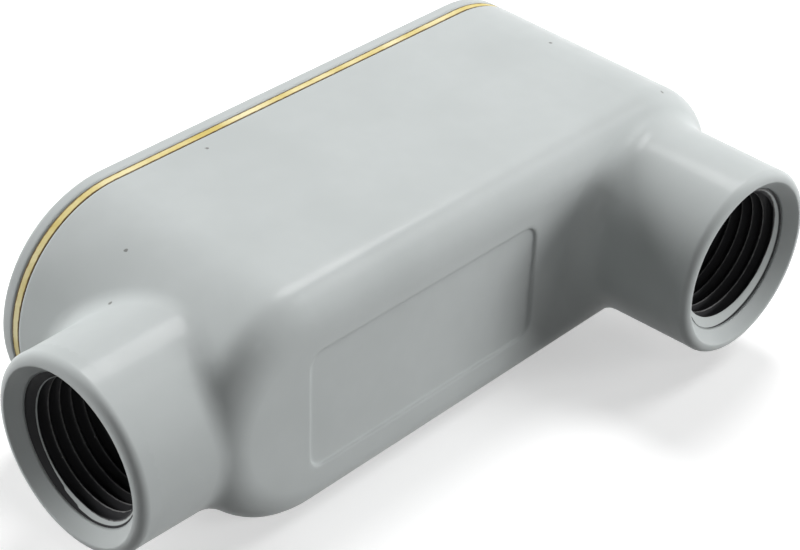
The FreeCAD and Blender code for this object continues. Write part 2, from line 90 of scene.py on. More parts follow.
def corner_box(node: SolidNode) -> tuple[Vector, Vector]:
    """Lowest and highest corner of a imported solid.

    Args:
        node: the solid.

    Returns:
        The two corners, in metres.
    """
    low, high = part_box(node.value)
    return low, high


def link_object(name: str, mesh: bpy.types.Mesh) -> bpy.types.Object:
    """Puts a mesh in the scene as an object.

    Args:
        name: name of the object.
        mesh: its mesh.

    Returns:
        The new object, at the origin.
    """
    thing = bpy.data.objects.new(name, mesh)
    bpy.context.scene.collection.objects.link(thing)
    return thing


def mesh_from(form: bmesh.types.BMesh, name: str, smooth: bool = False) -> bpy.types.Mesh:
    """Turns a finished form into a mesh and frees it.

    Args:
        form: the form, which can't be used afterwards.
        name: name of the mesh.
        smooth: whether its faces are shaded smooth.

    Returns:
        The new mesh.
    """
    mesh = bpy.data.meshes.new(name)
    if smooth:
        for face in form.faces:
            face.smooth = True
    form.to_mesh(mesh)
    form.free()
    return mesh


def baked_copy(thing: bpy.types.Object, name: str) -> bpy.types.Mesh:
    """The mesh of an object with its modifiers applied.

    Args:
        thing: the object.
        name: name for the new mesh.

    Returns:
        A mesh of its own.
    """
    bpy.context.view_layer.update()
    graph = bpy.context.evaluated_depsgraph_get()
    mesh = bpy.data.meshes.new_from_object(thing.evaluated_get(graph))
    mesh.name = name
    return mesh


class Graph:
    """The node tree of a material or the world, with short calls to add and join nodes."""

    def __init__(self, owner: bpy.types.Material | bpy.types.World) -> None:
        """Empties a tree, to build in it.

        Args:
            owner: the material or world that the tree belongs to.
        """
        owner.use_nodes = True
        self.owner = owner
        self.tree = owner.node_tree
        self.tree.nodes.clear()

    @classmethod
    def of_material(cls, name: str) -> "Graph":
        """The empty tree of a new material."""
        return cls(bpy.data.materials.new(name))

    def add(self, kind: str, **settings: Any) -> bpy.types.Node:
        """Adds a node.

        Args:
            kind: the node's type name.
            settings: properties to set on it.

        Returns:
            The node.
        """
        node = self.tree.nodes.new(kind)
        for key, setting in settings.items():
            setattr(node, key, setting)
        return node

    def join(self, source: Socket, target: Socket) -> None:
        """Links two sockets."""
        self.tree.links.new(source, target)

    def feed(self, target: Socket, given: Given) -> None:
        """Links a socket, or sets it where a plain value is given.

        Args:
            target: the input socket.
            given: an output socket, or a number or colour.
        """
        if isinstance(given, Socket):
            self.join(given, target)
        else:
            target.default_value = given

    def place(self) -> Socket:
        """Object coordinates, in metres."""
        return self.add("ShaderNodeTexCoord").outputs["Object"]

    def along(self, axis: str) -> Socket:
        """One of the object coordinates, by the axis's letter."""
        split = self.add("ShaderNodeSeparateXYZ")
        self.join(self.place(), split.inputs["Vector"])
        return split.outputs[axis]

    def noise(self, size: float, detail: float = 3.0) -> Socket:
        """Noise in object space.

        Args:
            size: distance between its lumps, in metres.
            detail: octaves.

        Returns:
            Its value, about 0 to 1.
        """
        node = self.add("ShaderNodeTexNoise")
        node.inputs["Scale"].default_value = 1.0 / size
        node.inputs["Detail"].default_value = detail
        node.inputs["Roughness"].default_value = 0.5
        self.join(self.place(), node.inputs["Vector"])
        return node.outputs["Fac"]

    def wander(self, size: float, detail: float, amount: float) -> Socket:
        """Noise on both sides of zero, which makes a line ragged.

        Args:
            size: distance between its lumps, in metres.
            detail: octaves.
            amount: its whole height.

        Returns:
            Its value, at most half the amount from zero.
        """
        return self.math("MULTIPLY", self.math("SUBTRACT", self.noise(size, detail), 0.5), amount)

    def mark(self, name: str) -> Socket:
        """A number that the mesh carries at each corner, by name."""
        node = self.add("ShaderNodeAttribute", attribute_type="GEOMETRY", attribute_name=name)
        return node.outputs["Fac"]

    def specks(self, spacing: float, radius: float, core: float = 0.6,
               clean: Pair = (0.80, 0.82)) -> Socket:
        """Scattered round specks.

        Args:
            spacing: distance between their cells, in metres.
            radius: size of a speck, as a share of its cell.
            core: share of its radius inside which a speck is full.
            clean: share of the cells without a speck, and the share from which the specks are full.

        Returns:
            1 in a speck and 0 elsewhere, in a few of the cells.
        """
        cells = self.add("ShaderNodeTexVoronoi")
        cells.inputs["Scale"].default_value = 1.0 / spacing
        self.join(self.place(), cells.inputs["Vector"])
        near = self.ramp(cells.outputs["Distance"], radius, core * radius)
        chosen = self.add("ShaderNodeSeparateColor")
        self.join(cells.outputs["Color"], chosen.inputs["Color"])
        return self.math("MULTIPLY", near, self.ramp(chosen.outputs["Red"], *clean))

    def math(self, operation: str, first: Given, second: Given = 0.0) -> Socket:
        """A Math node.

        Args:
            operation: its operation.
            first: a socket or number.
            second: a socket or number.

        Returns:
            The result.
        """
        node = self.add("ShaderNodeMath", operation=operation)
        self.feed(node.inputs[0], first)
        self.feed(node.inputs[1], second)
        return node.outputs[0]

    def ramp(self, value: Socket, start: float, end: float, low: float = 0.0,
             high: float = 1.0) -> Socket:
        """Maps a value smoothly from one range to another, clamped.

        Args:
            value: the value to map.
            start: where the low end lies.
            end: where the high end lies.
            low: result at start.
            high: result at end.

        Returns:
            The mapped value.
        """
        node = self.add("ShaderNodeMapRange", interpolation_type="SMOOTHSTEP")
        self.join(value, node.inputs["Value"])
        node.inputs["From Min"].default_value = start
        node.inputs["From Max"].default_value = end
        node.inputs["To Min"].default_value = low
        node.inputs["To Max"].default_value = high
        return node.outputs["Result"]

    def blend(self, share: Given, first: Given, second: Given) -> Socket:
        """Mixes two colours.

        Args:
            share: share of the second, as a socket or number.
            first: a socket or colour.
            second: a socket or colour.

        Returns:
            The mixed colour.
        """
        node = self.add("ShaderNodeMix", data_type="RGBA")
        self.feed(node.inputs["Factor"], share)
        self.feed(node.inputs[6], first)
        self.feed(node.inputs[7], second)
        return node.outputs[2]

    def bump(self, height: Socket, strength: float, distance: float,
             below: Socket | None = None) -> Socket:
        """A Bump node.

        Args:
            height: its height, 0 to 1.
            strength: share of the effect.
            distance: height in metres at a value of 1.
            below: a normal to build on.

        Returns:
            The normal.
        """
        node = self.add("ShaderNodeBump")
        node.inputs["Strength"].default_value = strength
        node.inputs["Distance"].default_value = distance
        self.join(height, node.inputs["Height"])
        if below is not None:
            self.join(below, node.inputs["Normal"])
        return node.outputs["Normal"]

    def white_rays(self) -> Socket:
        """1 for a camera, glossy or transmission ray, which see plain white surroundings."""
        path = self.add("ShaderNodeLightPath").outputs
        seen = self.math("MAXIMUM", path["Is Camera Ray"], path["Is Glossy Ray"])
        return self.math("MAXIMUM", seen, path["Is Transmission Ray"])

    def background(self, strength: float) -> Socket:
        """A white background of a given strength."""
        node = self.add("ShaderNodeBackground")
        node.inputs["Color"].default_value = WHITE
        node.inputs["Strength"].default_value = strength
        return node.outputs[0]

    def finish(self, color: Given, roughness: Given, normal: Socket, **fixed: float) -> bpy.types.Material:
        """Ends the tree in a Principled shader.

        Args:
            color: a socket or colour.
            roughness: a socket or number.
            normal: a normal socket.
            fixed: values for other sockets, by name with _ for a space.

        Returns:
            The material.
        """
        shader = self.add("ShaderNodeBsdfPrincipled")
        self.feed(shader.inputs["Base Color"], color)
        self.feed(shader.inputs["Roughness"], roughness)
        self.join(normal, shader.inputs["Normal"])
        for key, amount in fixed.items():
            shader.inputs[key.replace("_", " ")].default_value = amount
        output = self.add("ShaderNodeOutputMaterial")
        self.join(shader.outputs["BSDF"], output.inputs["Surface"])
        return self.owner


@dataclass(frozen=True)
class CastPaint:
    """Smooth semi-gloss paint over a die casting, with its edges softened where edge_round is set.

    Clouds and mottle change its tone a little. The flaws are the places of single pits, in millimetres.
    """

    name: str = "casting_paint"
    color: Color = (0.520, 0.550, 0.548, 1.0)
    shade: Color = (0.485, 0.515, 0.512, 1.0)
    dirt: Color = (0.10, 0.095, 0.085, 1.0)
    cloud_size: float = 18.0 * MM
    cloud_range: Pair = (0.35, 0.70)
    mottle_size: float = 2.6 * MM
    mottle_range: Pair = (0.30, 0.72)
    mottle_share: float = 0.30
    speck_spacing: float = 7.0 * MM
    speck_radius: float = 0.030
    speck_depth: float = 0.05 * MM
    dirt_share: float = 0.70
    rough_size: float = 6.0 * MM
    rough_range: Pair = (0.38, 0.48)
    peel_size: float = 1.6 * MM
    peel_height: float = 0.012 * MM
    swell_size: float = 9.0 * MM
    swell_height: float = 0.05 * MM
    edge_round: float = 0.8 * MM
    edge_samples: int = 6
    flaws: tuple[Point, ...] = (
        (-41.76, 11.04, 29.32), (-36.09, 14.38, 32.94), (-14.50, 23.00, 34.96), (41.78, 10.61, 34.40),
        (44.02, -8.26, 33.13), (37.20, -29.95, 5.40), (12.0, -11.9, 9.0), (-8.5, 26.6, 12.0))
    flaw_radius: float = 0.34 * MM
    flaw_core: float = 0.5
    flaw_ragged: float = 0.5 * MM

    def material(self) -> bpy.types.Material:
        """Builds the paint.

        Returns:
            The material.
        """
        graph = Graph.of_material(self.name)
        cloud = graph.ramp(graph.noise(self.cloud_size), *self.cloud_range)
        tone = graph.blend(cloud, self.color, self.shade)
        mottle = graph.ramp(graph.noise(self.mottle_size), *self.mottle_range)
        tone = graph.blend(graph.math("MULTIPLY", mottle, self.mottle_share), tone, self.shade)
        specks = graph.math("MAXIMUM", graph.specks(self.speck_spacing, self.speck_radius),
                            self.flaw_mask(graph))
        color = graph.blend(graph.math("MULTIPLY", specks, self.dirt_share), tone, self.dirt)
        rough = graph.ramp(graph.noise(self.rough_size, detail=4.0), *MOST_OF_NOISE, *self.rough_range)
        peel = graph.bump(graph.noise(self.peel_size, detail=2.0), strength=0.35,
                          distance=self.peel_height, below=self.soft_edges(graph))
        swell = graph.bump(graph.noise(self.swell_size, detail=2.0), strength=0.5,
                           distance=self.swell_height, below=peel)
        grain = graph.bump(specks, strength=0.6, distance=self.speck_depth, below=swell)
        return graph.finish(color, rough, grain, IOR=1.5, Specular_IOR_Level=0.14,
                            Coat_Weight=0.08, Coat_Roughness=0.14)

    def soft_edges(self, graph: Graph) -> Socket | None:
        """A normal that rounds the edges off.

        Args:
            graph: the tree to add the node to.

        Returns:
            The normal, or None where edge_round is 0.
        """
        if not self.edge_round:
            return None
        soft = graph.add("ShaderNodeBevel", samples=self.edge_samples)
        soft.inputs["Radius"].default_value = self.edge_round
        return soft.outputs["Normal"]

    def flaw_mask(self, graph: Graph) -> Socket:
        """The single pits in the paint.

        Args:
            graph: the tree to add the nodes to.

        Returns:
            1 in a pit and 0 elsewhere.
        """
        place = graph.place()
        ragged = graph.wander(self.flaw_ragged, detail=2.0, amount=self.flaw_ragged)
        mask = 0.0
        for flaw in self.flaws:
            away = graph.add("ShaderNodeVectorMath", operation="DISTANCE")
            graph.join(place, away.inputs[0])
            away.inputs[1].default_value = tuple(MM * part for part in flaw)
            near = graph.ramp(graph.math("ADD", away.outputs["Value"], ragged), self.flaw_radius,
                              self.flaw_core * self.flaw_radius)
            mask = graph.math("MAXIMUM", near, mask)
        return mask


@dataclass(frozen=True)
class FibreSheet:
    """Straw-coloured gasket fibre between two heights along Y, browner at its two faces: partly stain,
    partly painted shade of the seams against the body and cover.
    """

    low: float
    high: float
    pale: Color = (0.86, 0.78, 0.47, 1.0)
    straw: Color = (0.66, 0.53, 0.17, 1.0)
    stain_and_seam_shade: Color = (0.15, 0.095, 0.035, 1.0)
    stain_and_seam_shade_range: Pair = (0.60, 0.84)
    ragged_size: float = 0.7 * MM
    ragged: float = 0.2 * MM
    cloud_size: float = 9.0 * MM
    cloud_range: Pair = (0.35, 0.66)
    rough_range: Pair = (0.75, 0.9)
    grain_size: float = 0.35 * MM
    grain_height: float = 0.08 * MM

    def material(self) -> bpy.types.Material:
        """Builds the fibre, browner towards both faces across the sheet, partly as stain and partly as
        painted seam shade.

        Returns:
            The material.
        """
        graph = Graph.of_material("gasket_fibre")
        middle, half = (self.low + self.high) / 2, (self.high - self.low) / 2
        off = graph.math("ABSOLUTE", graph.math("SUBTRACT", graph.along("Y"), middle))
        ragged = graph.wander(self.ragged_size, detail=3.0, amount=self.ragged)
        # darker brown towards both faces: partly stain, partly painted shade of the seams
        face = graph.ramp(graph.math("ADD", off, ragged), *(half * share for share in self.stain_and_seam_shade_range))
        cloud = graph.ramp(graph.noise(self.cloud_size, detail=5.0), *self.cloud_range)
        color = graph.blend(face, graph.blend(cloud, self.pale, self.straw), self.stain_and_seam_shade)
        bump = graph.bump(graph.noise(self.grain_size), strength=0.8, distance=self.grain_height)
        return graph.finish(color, graph.ramp(cloud, 0.0, 1.0, *self.rough_range), bump)


@dataclass(frozen=True)
class ThreadMetal:
    """Cut thread: paint left on the first crest, then flanks darkened as painted shade of the deep bore,
    with crests painted lighter, partly bare metal and partly painted highlight, that dim inward as painted
    shade.
    """

    paint: Color = (0.50, 0.53, 0.525, 1.0)
    # near-black flank colour: painted shade of the deep bore
    flank_shade: Color = (0.032, 0.032, 0.034, 1.0)
    # lighter crest colour: partly bare metal, partly painted highlight
    crest: Color = (0.24, 0.24, 0.24, 1.0)
    crest_highlight_range: Pair = (0.90, 0.99)
    crest_ragged: float = 0.30
    # crests dim to inward_shade_floor over this depth: painted shade deeper in the bore
    inward_shade_depth: float = 9.0 * MM
    inward_shade_floor: float = 0.25
    paint_range: Pair = (0.42, 0.58)
    ragged_size: float = 0.8 * MM
    ragged: float = 0.5
    # depths of a thin dark line at the thread's start: painted shade of a groove between cone and thread
    groove_shade_range: Pair = (0.144 * MM, 0.198 * MM)
    rough_size: float = 1.2 * MM
    rough_range: Pair = (0.40, 0.6)
    grain_size: float = 0.5 * MM
    grain_height: float = 0.02 * MM

    def material(self) -> bpy.types.Material:
        """Builds the thread's finish from the marks that its mesh carries.

        Returns:
            The material.
        """
        graph = Graph.of_material("thread_metal")
        depth = graph.along("Z")
        ragged = graph.wander(self.ragged_size, detail=4.0, amount=self.ragged)
        top = graph.math("ADD", graph.mark("crest"), graph.math("MULTIPLY", ragged, self.crest_ragged))
        # crests painted lighter, partly bare metal and partly painted highlight, and dimmer with depth as
        # painted shade
        inward_shade = graph.ramp(depth, 0.0, self.inward_shade_depth, 1.0, self.inward_shade_floor)
        bare_and_highlit_crest = graph.math("MULTIPLY", graph.ramp(top, *self.crest_highlight_range), inward_shade)
        body = graph.blend(bare_and_highlit_crest, self.flank_shade, self.crest)
        kept = graph.ramp(graph.math("ADD", graph.mark("paint"), ragged), *self.paint_range)
        # no paint within the first fraction of a millimetre: a painted groove shade line
        past_groove_shade = graph.ramp(depth, *self.groove_shade_range)
        color = graph.blend(graph.math("MULTIPLY", kept, past_groove_shade), body, self.paint)
        rough = graph.ramp(graph.noise(self.rough_size, detail=2.0), *MOST_OF_NOISE, *self.rough_range)
        bump = graph.bump(graph.noise(self.grain_size, detail=2.0), strength=0.4,
                          distance=self.grain_height)
        return graph.finish(color, rough, bump, Specular_IOR_Level=0.04, Coat_Weight=0.06,
                            Coat_Roughness=0.08)


@dataclass(frozen=True)
class ZincPlate:
    """Bright zinc on a turned steel head."""

    color: Color = (0.66, 0.66, 0.63, 1.0)
    dull: Color = (0.45, 0.44, 0.40, 1.0)
    dull_size: float = 1.4 * MM
    dull_range: Pair = (0.35, 0.7)
    ring_pitch: float = 1.4 * MM
    ring_wobble: float = 0.4
    ring_height: float = 0.01 * MM
    rough_size: float = 0.8 * MM
    rough_range: Pair = (0.26, 0.42)

    def material(self) -> bpy.types.Material:
        """Builds the plating, with rings from the lathe.

        Returns:
            The material.
        """
        graph = Graph.of_material("screw_zinc")
        rings = graph.add("ShaderNodeTexWave", wave_type="RINGS", rings_direction="Z")
        rings.inputs["Scale"].default_value = 1.0 / self.ring_pitch
        rings.inputs["Distortion"].default_value = self.ring_wobble
        graph.join(graph.place(), rings.inputs["Vector"])
        worn = graph.ramp(graph.noise(self.dull_size, detail=4.0), *self.dull_range)
        tone = graph.blend(worn, self.color, self.dull)
        rough = graph.ramp(graph.noise(self.rough_size), *MOST_OF_NOISE, *self.rough_range)
        bump = graph.bump(rings.outputs["Fac"], strength=0.25, distance=self.ring_height)
        return graph.finish(tone, rough, bump, Metallic=1.0)


@dataclass
class Hub:
    """Where one hub's thread lies, as the record states it."""

    name: str
    middle: Vector
    outward: Vector
    root_radius: float
    length: float

    @classmethod
    def from_record(cls, mount: dict[str, Any]) -> "Hub":
        """Reads a threaded mount.

        Args:
            mount: one entry of the record's mounts.

        Returns:
            The hub, in metres.
        """
        sizes = mount["dims"]
        return cls(mount["name"], Vector(mount["pos_m"]), Vector(mount["axis"]),
                   sizes["r_mm"] * MM, sizes["length_mm"] * MM)

    def placement(self, at: float = 0.0) -> Matrix:
        """Local Z runs inward along the hub's axis, and local X straight up.

        Args:
            at: where the local origin lies, inward from the thread's start.

        Returns:
            The placement of a piece that is built in the hub's own frame.
        """
        inward = -self.outward
        up = Vector((0.0, 0.0, 1.0))
        turn = Matrix((up, inward.cross(up), inward)).transposed().to_4x4()
        return Matrix.Translation(self.middle + self.outward * (self.length / 2 - at)) @ turn

    def mouth_depth(self) -> float:
        """How far the thread's start lies inside the mouth."""
        low, _ = corner_box(SolidNode.CASTING)
        start = self.middle + self.outward * self.length / 2
        return sum((start[axis] - low[axis]) * abs(self.outward[axis]) for axis in range(3))


@dataclass(frozen=True)
class ThreadCut:
    """How one hub is cut. Turns are in degrees from straight up.

    The painted band before the first crest is wide until one turn and narrow from another. The lip is
    wider by heavy towards heavy_turn, where the bore was cut off centre.
    """

    hub: str
    crest: float
    narrow: float
    wide: float
    wide_until: float
    narrow_from: float
    heavy: float = 0.0
    heavy_turn: float = 0.0

    def band(self, share: float) -> float:
        """Width of the painted band at a share of the turn."""
        span = (360 * share - self.wide_until) / (self.narrow_from - self.wide_until)
        return self.wide + (self.narrow - self.wide) * min(max(span, 0.0), 1.0)


class HubCut(Enum):
    """The two hubs, each cut in its own way."""

    END = ThreadCut(hub="end_hub", crest=1.43 * MM, narrow=0.10 * MM, wide=0.50 * MM,
                    wide_until=150.0, narrow_from=220.0, heavy=0.45 * MM, heavy_turn=45.0)
    BACK = ThreadCut(hub="back_hub", crest=0.0, narrow=2.0 * MM, wide=2.0 * MM,
                     wide_until=0.0, narrow_from=360.0)


@dataclass
class HubMouth:
    """A hub's rounded lip and lead-in cone, as a thin ring over the solid's plain bevels.

    The ring stands proud of the solid, and its back edge sinks into the barrel by buried times as much.
    """

    hub: Hub
    cut: ThreadCut
    barrel_radius: float = 13.75 * MM
    cone_radius: float = 12.4 * MM
    draft: float = math.radians(1.0)
    lip_round: float = 1.3 * MM
    inner_round: float = 0.3 * MM
    proud: float = 0.045 * MM
    buried: float = 0.3
    overlap: float = 1.8 * MM
    wall: float = 0.4 * MM
    hair: float = 0.01 * MM
    barrel_steps: int = 4
    lip_steps: int = 12
    cone_steps: int = 6
    around: int = 160

    def barrel_points(self) -> list[Pair]:
        """Depth and radius of the points along the barrel, from the back edge to the lip."""
        points = []
        for step in range(self.barrel_steps + 1):
            share = step / self.barrel_steps
            depth = self.lip_round + self.overlap * (1 - share)
            lift = self.proud * ((1 + self.buried) * share - self.buried)
            points.append((depth, self.barrel_radius + math.tan(self.draft) * depth + lift))
        return points

    def lip_points(self) -> list[Pair]:
        """Depth and radius of the points over the lip, from the barrel to its crest."""
        middle = self.barrel_radius + math.tan(self.draft) * self.lip_round - self.lip_round
        size = self.lip_round + self.proud
        angles = (math.pi / 2 * step / self.lip_steps for step in range(1, self.lip_steps + 1))
        return [(self.lip_round - size * math.sin(angle), middle + size * math.cos(angle))
                for angle in angles]

    def cone_points(self, crest: float) -> list[Pair]:
        """Depth and radius of the points down the lead-in cone.

        Args:
            crest: radius at which the lip turns inward.

        Returns:
            The points of the rounded inner edge, then those of the cone.
        """
        depth = self.hub.mouth_depth()
        run = math.atan2(self.cone_radius - self.hub.root_radius, depth)
        shares = [step / self.cone_steps for step in range(1, self.cone_steps + 1)]
        edge = []
        for share in shares:
            angle = (math.pi / 2 - run) * share
            edge.append((self.inner_round - self.proud - self.inner_round * math.cos(angle),
                         crest - self.inner_round * math.sin(angle)))
        start, foot = edge[-1], (depth + self.hair, self.hub.root_radius - self.proud)
        return edge + [tuple(a + (b - a) * share for a, b in zip(start, foot)) for share in shares]

    def outline(self, turn: float) -> list[Pair]:
        """Closed half section of the ring.

        Args:
            turn: where round the axis, in radians from straight up.

        Returns:
            Depth from the mouth and radius of each point, from the barrel over the lip and down the
            cone, and back through the wall.
        """
        points = self.barrel_points() + self.lip_points()
        off_centre = max(0.0, math.cos(turn - math.radians(self.cut.heavy_turn)))
        crest = points[-1][1] - self.cut.heavy * off_centre
        points += self.cone_points(crest)
        return points + [(points[-1][0], self.hub.root_radius + self.wall),
                         (self.lip_round + self.wall, crest - self.wall),
                         (self.lip_round + self.overlap, self.barrel_radius - self.wall)]

    def build(self) -> bpy.types.Object:
        """Turns the outline round the hub's axis.

        Returns:
            The ring, in place.
        """
        name = self.hub.name + "_mouth"
        form = bmesh.new()
        sections = []
        for step in range(self.around):
            turn = 2 * math.pi * step / self.around
            sections.append([form.verts.new((size * math.cos(turn), size * math.sin(turn), depth))
                             for depth, size in self.outline(turn)])
        for section, following in zip(sections, sections[1:] + sections[:1]):
            for step in range(len(section)):
                after = (step + 1) % len(section)
                form.faces.new((section[step], following[step], following[after], section[after]))
        bmesh.ops.recalc_face_normals(form, faces=form.faces)
        mesh = mesh_from(form, name, smooth=True)
        self.match_normals(mesh)
        ring_piece = link_object(name, mesh)
        ring_piece.matrix_world = self.hub.placement(-self.hub.mouth_depth())
        return ring_piece

    def match_normals(self, mesh: bpy.types.Mesh) -> None:
        """Gives the ring's back edge the barrel's own normals, so that no seam shows.

        Args:
            mesh: the ring's mesh, in the hub's frame.
        """
        slope = math.tan(self.draft)
        normals = []
        for corner in mesh.vertices:
            normal = corner.normal.copy()
            if corner.co.z > self.lip_round - self.hair and corner.co.xy.length > self.barrel_radius:
                normal = Vector((*corner.co.xy.normalized(), -slope)).normalized()
            normals.append(normal)
        mesh.normals_split_custom_set_from_vertices(normals)

    def dress(self, ring_piece: bpy.types.Object, material: bpy.types.Material) -> None:
        """Gives the ring its finish and its body.

        Args:
            ring_piece: the object that build() made.
            material: the casting's paint.
        """
        ring_piece.data.materials.append(material)
        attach(ring_piece, BODY)


@dataclass
class HubThread:
    """The tapered pipe thread in a hub, as a helical sleeve over the bore's plain wall.

    lead_slope is how fast the lead-in cone closes, run_out how much of a pitch the thread takes to end,
    and crest_edge how far paint reaches past a crest. The rows begin turns_before turns outside the hub,
    and turns_more turns are added to its length, so that every place round it has rows from end to end.
    """

    hub: Hub
    cut: ThreadCut
    pitch: float = 25.4 / 14 * MM
    height: float = 1.25 * MM
    wall_gap: float = 0.02 * MM
    lead_slope: float = 1.8
    run_out: float = 0.6
    flat_share: float = 0.06
    crest_edge: float = 0.09 * MM
    sleeve: float = 0.3 * MM
    turns_before: float = 2.5
    turns_more: int = 3
    around: int = 144
    per_pitch: int = 20
    sharp_angle: float = math.radians(60)

    def profile(self, phase: float) -> float:
        """Height of the thread at a phase of its pitch.

        Args:
            phase: 0 to 1, with the crest at 0.5.

        Returns:
            0 at the root and 1 at the crest.
        """
        rise = (0.5 - abs(phase - 0.5) - self.flat_share / 2) / (0.5 - self.flat_share)
        return min(max(rise, 0.0), 1.0)

    def radius(self, depth: float, phase: float) -> float:
        """Radius of the sleeve's inner face.

        Args:
            depth: inward from the thread's start, in metres.
            phase: of the pitch, 0 to 1.

        Returns:
            The radius, cut back by the lead-in cone and run out at the stop.
        """
        left = (self.hub.length - depth) / (self.run_out * self.pitch)
        kept = min(max(left, 0.0), 1.0)
        root = self.hub.root_radius - self.wall_gap
        cone = root - self.lead_slope * depth
        return max(root - self.height * kept * self.profile(phase), cone)

    def painted(self, depth: float, share: float) -> float:
        """Whether paint is left at a place, which it is only on the first crest's outer flank.

        Args:
            depth: inward from the thread's start, in metres.
            share: of the turn, from straight up.

        Returns:
            1 where there is paint and 0 where the metal is bare.
        """
        crest = (self.cut.crest + share * self.pitch) % self.pitch
        before = crest - depth
        return float(-self.crest_edge < before < self.cut.band(share))

    def lay_rows(self, form: bmesh.types.BMesh) -> list[list[bmesh.types.BMVert]]:
        """Lays the corners of the sleeve's inner face, in rows that follow the helix.

        Args:
            form: what to add them to, with their marks for paint and crest.

        Returns:
            The rows, from the mouth inward.
        """
        paint = form.verts.layers.float.new("paint")
        crest = form.verts.layers.float.new("crest")
        turns = math.ceil(self.hub.length / self.pitch) + self.turns_more
        rows = []
        for row in range(turns * self.per_pitch + 1):
            phase = (row % self.per_pitch) / self.per_pitch
            corners = []
            for step in range(self.around + 1):
                share = step / self.around
                along = (row / self.per_pitch - self.turns_before + share) * self.pitch + self.cut.crest
                depth = min(max(along, 0.0), self.hub.length)
                size = self.radius(depth, phase)
                angle = 2 * math.pi * share
                corner = form.verts.new((size * math.cos(angle), size * math.sin(angle), depth))
                corner[paint] = self.painted(depth, share)
                corner[crest] = self.profile(phase)
                corners.append(corner)
            rows.append(corners)
        return rows

    def build(self) -> bpy.types.Object:
        """Builds the sleeve.

        Returns:
            The thread, placed in its hub.
        """
        name = self.hub.name + "_thread"
        form = bmesh.new()
        rows = self.lay_rows(form)
        for below, above in zip(rows, rows[1:]):
            for step in range(self.around):
                corners = (below[step], above[step], above[step + 1], below[step + 1])
                if max(v.co.z for v in corners) - min(v.co.z for v in corners) > WELD:
                    form.faces.new(corners)
        bmesh.ops.remove_doubles(form, verts=form.verts, dist=WELD)
        loose = [v for v in form.verts if not v.link_faces]
        bmesh.ops.delete(form, geom=loose, context="VERTS")
        self.close(form)
        mesh = mesh_from(form, name, smooth=True)
        mesh.set_sharp_from_angle(angle=self.sharp_angle)
        thread = link_object(name, mesh)
        thread.matrix_world = self.hub.placement()
        return thread

    def close(self, form: bmesh.types.BMesh) -> None:
        """Closes the sleeve behind the bore's wall.

        Args:
            form: the inner face, open at both ends.
        """
        rims = [v for v in form.verts if v.is_boundary]
        outside = self.hub.root_radius + self.sleeve
        rings = []
        for side in ([v for v in rims if v.co.z < self.hub.length / 2],
                     [v for v in rims if v.co.z > self.hub.length / 2]):
            inner = sorted(side, key=lambda v: math.atan2(v.co.y, v.co.x))
            outer = [form.verts.new(Vector((v.co.x, v.co.y, 0)).normalized() * outside
                                    + Vector((0, 0, v.co.z))) for v in inner]
            rings.append((inner, outer))
        (first, first_out), (last, last_out) = rings
        for one, other in ((first, first_out), (first_out, last_out), (last_out, last)):
            for step in range(len(one)):
                after = (step + 1) % len(one)
                form.faces.new((one[step], one[after], other[after], other[step]))
        bmesh.ops.recalc_face_normals(form, faces=form.faces)

    def dress(self, thread: bpy.types.Object) -> None:
        """Gives the thread its finish and its body.

        Args:
            thread: the object that build() made.
        """
        thread.data.materials.append(ThreadMetal().material())
        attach(thread, BODY)


@dataclass
class DressedSolid:
    """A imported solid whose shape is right, which only needs its finish."""

    node: SolidNode

    def dress(self, material: bpy.types.Material) -> bpy.types.Object:
        """Swaps the solid's material.

        Args:
            material: the finish.

        Returns:
            The solid's object.
        """
        solid = frame["nodes"][self.node.value]
        for slot in solid.material_slots:
            slot.link = "OBJECT"
            slot.material = material
        return solid


